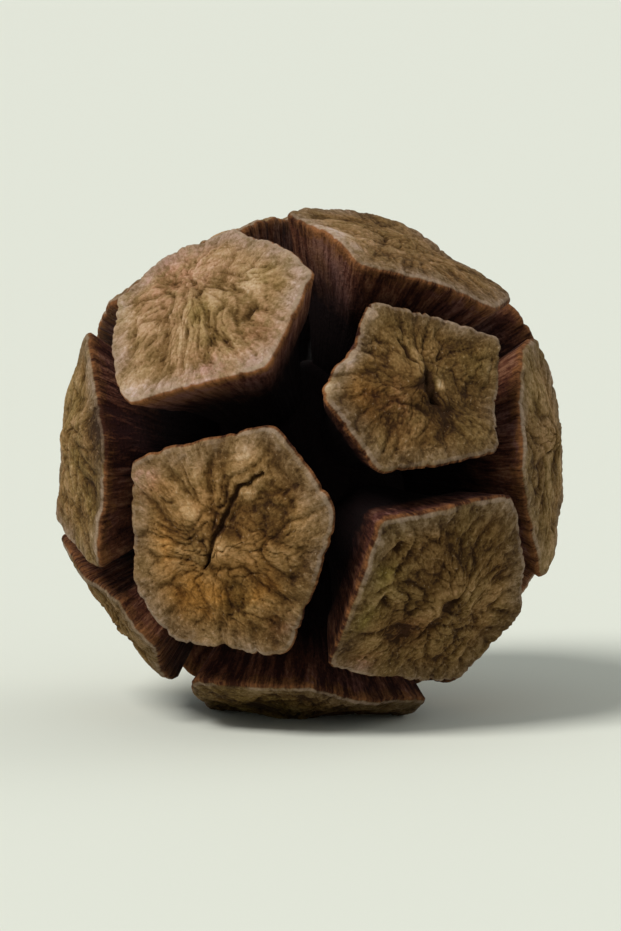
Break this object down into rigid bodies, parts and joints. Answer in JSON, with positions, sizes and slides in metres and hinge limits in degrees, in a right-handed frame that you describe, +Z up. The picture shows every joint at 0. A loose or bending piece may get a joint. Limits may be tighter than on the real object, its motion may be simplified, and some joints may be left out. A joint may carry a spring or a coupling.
{
  "type": "cypress cone",
  "caption": "Dry, open cypress cone lying on its side: a ball of woody many-sided scales with deep gaps between them and a short stub of stalk, resting on a small flat spot.",
  "frame": {"origin": "under the middle of the whole cone's outline box, on the surface that it lies on", "axes": "+Z up; the cone's tip points along -Y and seven degrees up, the stub of stalk along +Y; +X to the right as the tip is looked at"},
  "size_m": [0.0294, 0.0314, 0.0293],
  "materials": {
    "dry_wood": "matte, weathered and wrinkled, tan on the faces and dark in the gaps"
  },
  "bodies": {
    "root": {"cypress_cone": "dry_wood"}
  },
  "joints": []
}
